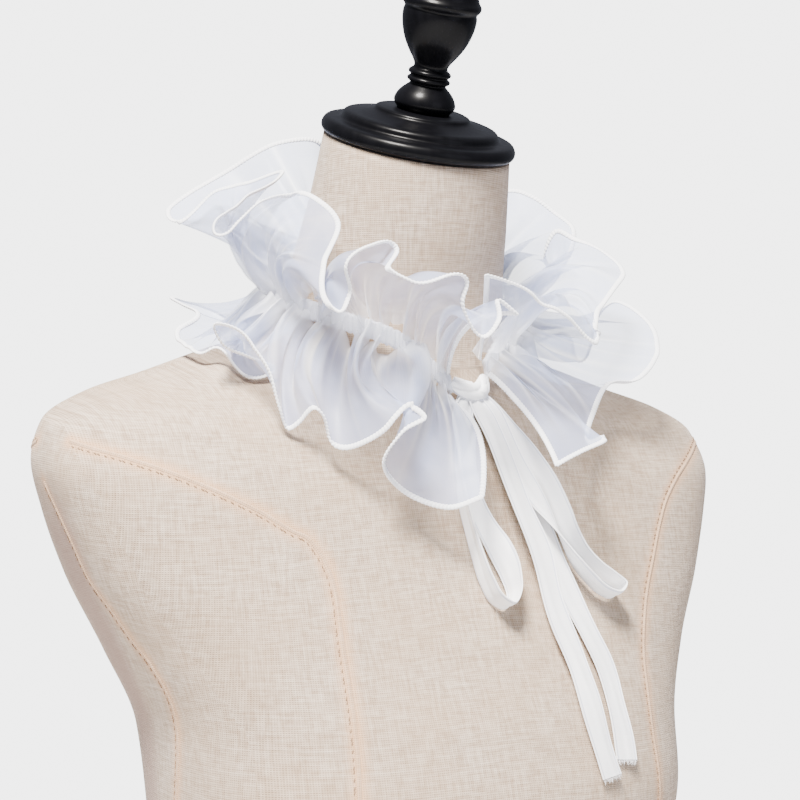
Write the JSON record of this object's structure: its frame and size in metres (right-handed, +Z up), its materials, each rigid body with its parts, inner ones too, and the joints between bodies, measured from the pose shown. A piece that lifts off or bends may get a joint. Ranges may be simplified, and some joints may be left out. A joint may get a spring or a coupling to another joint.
{
  "type": "ruff collar on its linen dress form",
  "caption": "Sheer gathered ruff collar with a ribbon bow, standing up round the neck and falling on the shoulders of a limbless linen form.",
  "frame": {"origin": "on the form's flat base, under the middle of its waist", "axes": "+Z up; the form faces -Y and its own left side is at +X"},
  "size_m": [0.407, 0.2752, 0.861],
  "materials": {
    "organza_casing": "sheer plain weave, gathered",
    "organza_upper": "sheer plain weave",
    "organza_lower": "sheer plain weave",
    "ribbon_knot": "soft matte",
    "ribbon_loop_left": "soft matte",
    "ribbon_loop_right": "soft matte",
    "ribbon_tail_back": "soft matte",
    "ribbon_tail_front": "soft matte",
    "linen_cover": "natural linen, stretched",
    "cap_wood": "black satin gloss lacquer",
    "finial_wood": "black satin gloss lacquer"
  },
  "bodies": {
    "root": {"casing": "organza_casing", "upper_ruffle": "organza_upper", "lower_ruffle": "organza_lower", "ribbon_knot": "ribbon_knot", "ribbon_loop_left": "ribbon_loop_left", "ribbon_loop_right": "ribbon_loop_right", "ribbon_tail_back": "ribbon_tail_back", "ribbon_tail_front": "ribbon_tail_front", "linen_torso": "linen_cover", "neck_cap": "cap_wood", "finial": "finial_wood"}
  },
  "joints": []
}
